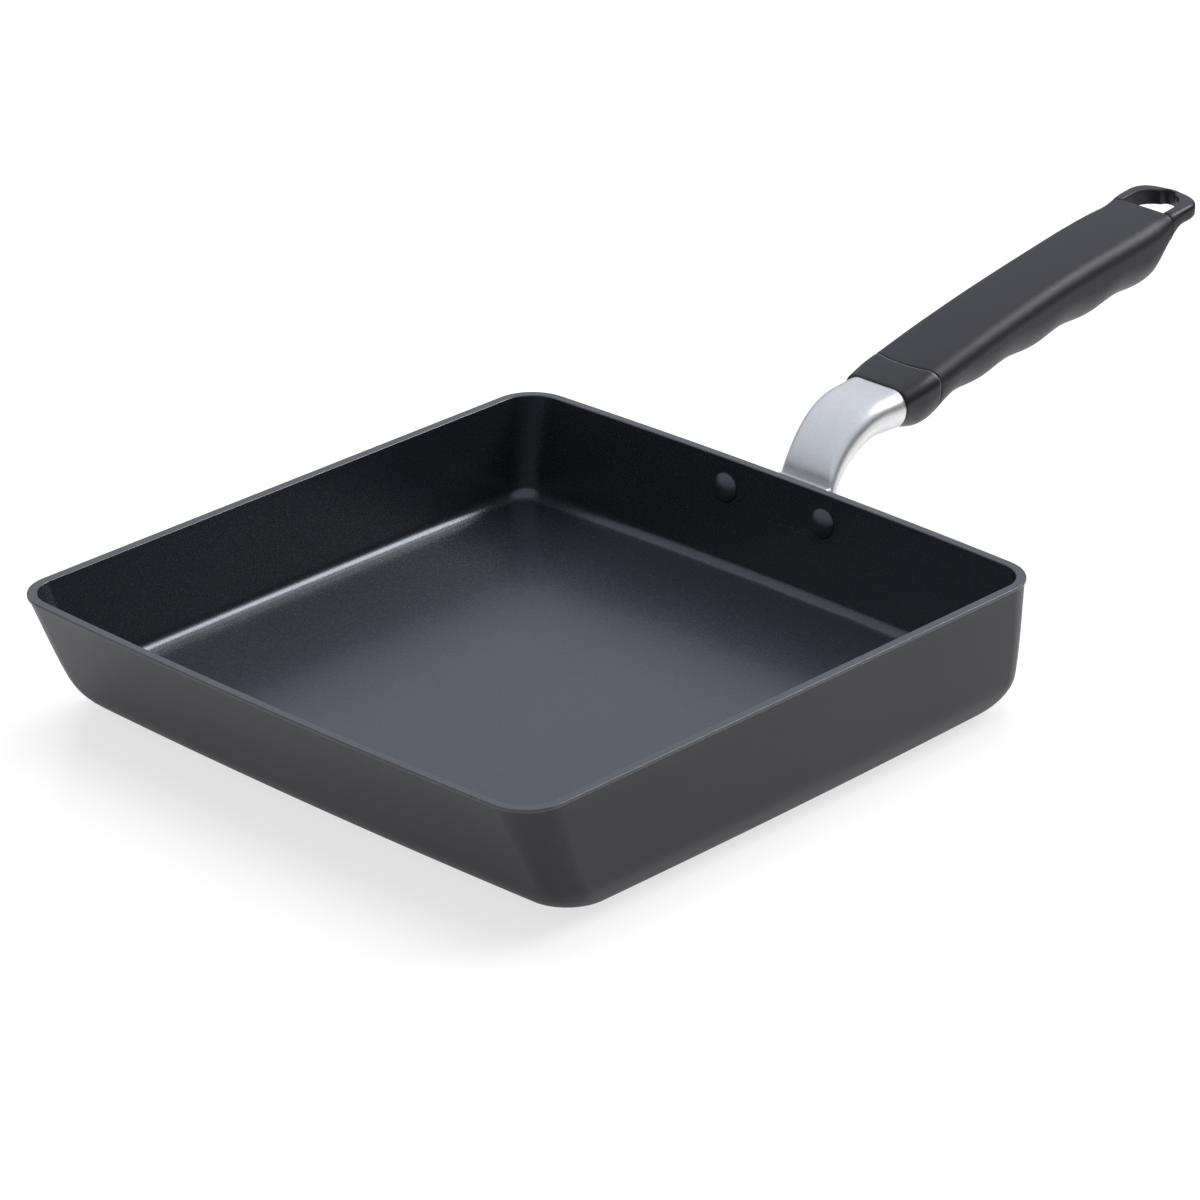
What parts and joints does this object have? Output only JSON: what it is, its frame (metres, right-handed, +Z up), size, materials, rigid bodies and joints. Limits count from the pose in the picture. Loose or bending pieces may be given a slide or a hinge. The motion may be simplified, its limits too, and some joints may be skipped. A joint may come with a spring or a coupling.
{
  "type": "tamagoyaki pan",
  "caption": "Square-cornered dark non-stick pan for rolled omelettes, with a silver gooseneck bracket and a black grip that ends in a hanging loop.",
  "frame": {"origin": "centre of the pan's flat underside", "axes": "+X from the pan towards the grip, +Y to the left of +X seen from above, +Z up"},
  "size_m": [0.3675, 0.1852, 0.0743],
  "materials": {
    "coating": "cast aluminium under a satin non-stick coating, bluish charcoal inside and dark grey outside",
    "silver_paint": "satin silver paint with a fine sparkle",
    "grip_plastic": "satin black",
    "grip_skin": "matt black, fine grain",
    "screw_steel": "zinc plated"
  },
  "bodies": {
    "root": {"pan_body": "coating", "rivets": "coating", "handle_bracket": "silver_paint", "grip_core": "grip_plastic", "grip_sleeve": "grip_skin", "handle_screw": "screw_steel", "lock_washer": "screw_steel"}
  },
  "joints": []
}
